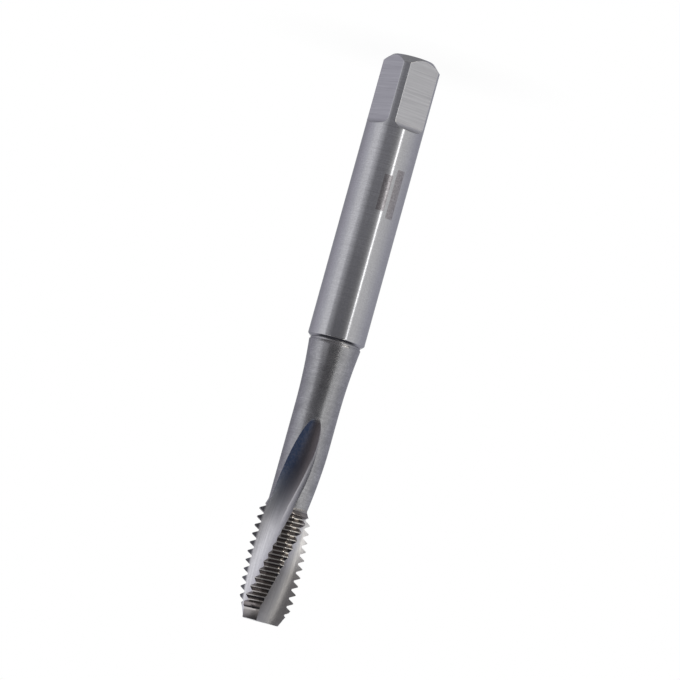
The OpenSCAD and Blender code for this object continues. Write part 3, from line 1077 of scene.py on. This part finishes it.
def make_world():
    """A white background, which the camera sees all round and the steel mirrors where it stands
    behind the tap. What lights the steel is a studio of soft upright bands and panels."""
    world = bpy.data.worlds.new("studio")
    world.use_nodes = True
    bpy.context.scene.world = world
    tree = Tree(world.node_tree)
    x, y, z = tree.parts(tree.node("ShaderNodeTexCoord").outputs["Generated"])
    # share runs once round the tap from 0 to 1, and is a half on the camera's side
    turned = tree.math("MULTIPLY", tree.math("ARCTAN2", y, x), -1 / (2 * pi))
    share = tree.math("FRACT", tree.math("ADD", turned, CAMERA_AZIMUTH / 360 + 1.5))
    seen = tree.ramp(share, [(0.5 + a / 360, colour) for a, colour in STUDIO_BANDS])
    angle = tree.math("MULTIPLY", tree.math("SUBTRACT", share, 0.5), 360)
    elevation = tree.math("MULTIPLY", tree.math("ARCSINE", z), 180 / pi)
    for left, right, low, high, fade, colour in STUDIO_PANELS:
        mask = tree.window(angle, left, right, fade)
        mask = tree.math("MULTIPLY", mask, tree.window(elevation, low, high, fade))
        seen = tree.mix(mask, seen, (*colour, 1))
    lit = tree.node("ShaderNodeBackground")
    tree.link(seen, lit.inputs["Color"])
    white = tree.node("ShaderNodeBackground")
    tree.link((1, 1, 1, 1), white.inputs["Color"])
    path = tree.node("ShaderNodeLightPath").outputs
    mirrored = tree.math("MAXIMUM", path["Is Glossy Ray"], path["Is Transmission Ray"])
    behind = tree.math("GREATER_THAN", tree.math("ABSOLUTE", angle), 180 - BACKDROP_HALF)
    level = tree.math("LESS_THAN", tree.math("ABSOLUTE", elevation), BACKDROP_LEVEL)
    behind = tree.math("MULTIPLY", behind, level)
    choose = tree.node("ShaderNodeMixShader")
    whole = tree.math("MAXIMUM", path["Is Camera Ray"], tree.math("MULTIPLY", mirrored, behind))
    tree.link(whole, choose.inputs[0])
    tree.link(lit.outputs[0], choose.inputs[1])
    tree.link(white.outputs[0], choose.inputs[2])
    out = tree.node("ShaderNodeOutputWorld")
    tree.link(choose.outputs[0], out.inputs["Surface"])


# A narrow upright lamp, which the steel mirrors as the thin bright line down the shank: its angle
# from the camera towards the picture's right, distance, width, lowest and highest point and power,
# in metres and watts
STRIP_ANGLE = 36.3
STRIP_DISTANCE = 0.7
STRIP_WIDTH = 0.055
STRIP_LOW = -0.13
STRIP_HIGH = 0.0
STRIP_POWER = 0.066


def make_strip():
    light = bpy.data.lights.new("strip", "AREA")
    light.shape = "RECTANGLE"
    light.size = STRIP_WIDTH
    light.size_y = STRIP_HIGH - STRIP_LOW
    light.energy = STRIP_POWER
    holder = bpy.data.objects.new("strip", light)
    angle = radians(CAMERA_AZIMUTH - STRIP_ANGLE)
    out = Vector((cos(angle), sin(angle), 0))
    side = Vector((0, 0, 1)).cross(out)
    place = out * STRIP_DISTANCE + Vector((0, 0, (STRIP_LOW + STRIP_HIGH) / 2))
    turn_matrix = Matrix((side, Vector((0, 0, 1)), out)).transposed().to_4x4()
    holder.matrix_world = Matrix.Translation(place) @ turn_matrix
    bpy.context.scene.collection.objects.link(holder)


FLOOR_R = 0.6
# Degrees from one corner of the floor's rim to the next
FLOOR_STEP = 6
# How far from the tap's axis the floor takes its shadow, and the most of it that shows
SHADOW_R = 0.03
SHADOW_SHARE = 0.045


def make_floor():
    """A pale floor under the square end. It keeps the tap's soft shadow near the tap, is plain
    white further out, and can be looked through from below."""
    mesh = bpy.data.meshes.new("floor")
    corners = [radians(a) for a in range(0, 360, FLOOR_STEP)]
    rim = [(FLOOR_R * cos(a), FLOOR_R * sin(a), 0) for a in corners]
    mesh.from_pydata(rim, [], [tuple(range(len(rim)))])
    floor = bpy.data.objects.new("floor", mesh)
    bpy.context.scene.collection.objects.link(floor)
    floor.visible_glossy = False
    floor.visible_shadow = False
    material, tree = new_material("pale_floor")
    place = tree.node("ShaderNodeTexCoord").outputs["Object"]
    share = tree.span(tree.radius(place), 0, SHADOW_R, SHADOW_SHARE, 0)
    white = tree.node("ShaderNodeEmission")
    tree.link((1, 1, 1, 1), white.inputs["Color"])
    pale = tree.node("ShaderNodeBsdfDiffuse")
    tree.link((1, 1, 1, 1), pale.inputs["Color"])
    seen = tree.node("ShaderNodeMixShader")
    tree.link(share, seen.inputs[0])
    tree.link(white.outputs[0], seen.inputs[1])
    tree.link(pale.outputs[0], seen.inputs[2])
    clear = tree.node("ShaderNodeBsdfTransparent")
    under = tree.node("ShaderNodeMixShader")
    tree.link(tree.node("ShaderNodeNewGeometry").outputs["Backfacing"], under.inputs[0])
    tree.link(seen.outputs[0], under.inputs[1])
    tree.link(clear.outputs[0], under.inputs[2])
    out = tree.node("ShaderNodeOutputMaterial")
    tree.link(under.outputs[0], out.inputs["Surface"])
    mesh.materials.append(material)


make_tap()
make_camera()
make_world()
make_strip()
make_floor()
bpy.context.scene.view_settings.view_transform = "Standard"
